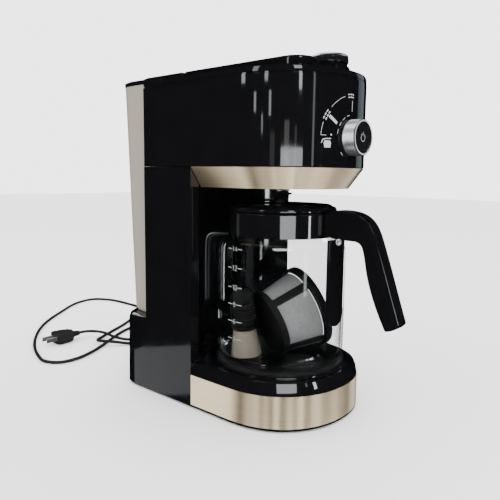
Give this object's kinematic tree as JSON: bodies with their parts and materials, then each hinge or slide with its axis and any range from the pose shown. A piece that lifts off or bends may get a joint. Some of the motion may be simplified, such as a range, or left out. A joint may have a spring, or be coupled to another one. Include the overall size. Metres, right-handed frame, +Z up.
{
  "type": "drip coffee maker",
  "caption": "Drip coffee maker with a round-fronted head, control knob, glass carafe on a warming plate, rear water tank and power cord.",
  "frame": {"origin": "on the table, under the middle of the machine's width and of its depth from the carafe handle to the tank lid's hinge, cord left out", "axes": "+Z up; the front, with the knob and the carafe handle, faces -Y; +X is to the right as seen from the front"},
  "size_m": [0.2866, 0.7386, 0.3714],
  "materials": {
    "gloss_black": "polished black ABS",
    "knob_black": "polished black",
    "inner_plastic": "moulded black",
    "brushed_steel": "warm, brushed sideways",
    "satin_metal": "satin",
    "plate_coating": "satin non-stick coating",
    "glass": "clear, smooth",
    "frosted_tank": "frosted, see-through",
    "filter_mesh": "fine woven nylon",
    "rubber": "moulded",
    "silicone": "moulded, off-white",
    "circuit_board": "green lacquer"
  },
  "bodies": {
    "machine": {"base_shell": "gloss_black", "base_deck": "gloss_black", "tower_shell": "gloss_black", "bay_wall": "gloss_black", "head_shell": "gloss_black", "bottom_cover": "inner_plastic", "head_floor": "inner_plastic", "brew_chamber": "inner_plastic", "filter_basket": "inner_plastic", "selector_switch": "inner_plastic", "base_band": "brushed_steel", "head_band": "brushed_steel", "heating_element": "satin_metal", "thermostat": "satin_metal", "bottom_screw_1": "satin_metal", "bottom_screw_2": "satin_metal", "bottom_screw_3": "satin_metal", "bottom_screw_4": "satin_metal", "valve_spring": "satin_metal", "lid_hinge_pin": "satin_metal", "plug_blade_left": "satin_metal", "plug_blade_right": "satin_metal", "warming_plate": "plate_coating", "foot_1": "rubber", "foot_2": "rubber", "foot_3": "rubber", "foot_4": "rubber", "strain_relief": "rubber", "cord": "rubber", "plug_body": "rubber", "riser_tube": "silicone", "supply_hose": "silicone", "tank_socket": "silicone", "control_board": "circuit_board"},
    "brew_lid": {"brew_lid": "gloss_black", "lid_knob": "knob_black", "shower_head": "inner_plastic"},
    "knob": {"knob": "satin_metal", "knob_shaft": "satin_metal"},
    "power_button": {"power_button": "knob_black"},
    "drip_valve": {"drip_valve": "inner_plastic"},
    "water_tank": {"water_tank": "frosted_tank", "tank_valve": "silicone", "tank_hinge_pin": "satin_metal"},
    "tank_lid": {"tank_lid": "gloss_black"},
    "carafe": {"carafe_glass": "glass", "carafe_collar": "gloss_black", "carafe_handle": "gloss_black", "carafe_strap": "gloss_black", "filter_frame": "inner_plastic", "filter_mesh": "filter_mesh", "water_filter_cup": "silicone", "water_filter_cap": "inner_plastic"},
    "carafe_lid": {"carafe_lid": "gloss_black"}
  },
  "joints": [
    {"name": "brew_lid_hinge", "type": "hinge", "parent": "machine", "child": "brew_lid", "pos_m": [0, 0.0729, 0.36], "axis": [-1, 0, 0], "range_deg": [0, 80]},
    {"name": "knob_turn", "type": "hinge", "parent": "machine", "child": "knob", "pos_m": [0, -0.1081, 0.2902], "axis": [0, -1, 0], "range_deg": [-120, 120]},
    {"name": "power_press", "type": "slide", "parent": "knob", "child": "power_button", "axis": [0, 1, 0], "range_m": [0, 0.0012], "stiffness_N_per_m": 1200, "springref_m": -0.0005},
    {"name": "drip_valve_lift", "type": "slide", "parent": "machine", "child": "drip_valve", "axis": [0, 0, 1], "range_m": [0, 0.004], "stiffness_N_per_m": 120, "springref_m": -0.003, "deforming": ["valve_spring"]},
    {"name": "water_tank_lift", "type": "slide", "parent": "machine", "child": "water_tank", "axis": [0, 0, 1], "range_m": [0, 0.3]},
    {"name": "tank_lid_hinge", "type": "hinge", "parent": "water_tank", "child": "tank_lid", "pos_m": [0, 0.1689, 0.3526], "axis": [-1, 0, 0], "range_deg": [0, 95]},
    {"name": "carafe_slide", "type": "slide", "parent": "machine", "child": "carafe", "axis": [0, -1, 0], "range_m": [0, 0.22]},
    {"name": "carafe_lid_twist", "type": "hinge", "parent": "carafe", "child": "carafe_lid", "pos_m": [0, -0.0251, 0.2166], "axis": [0, 0, 1], "range_deg": [0, 45]}
  ]
}
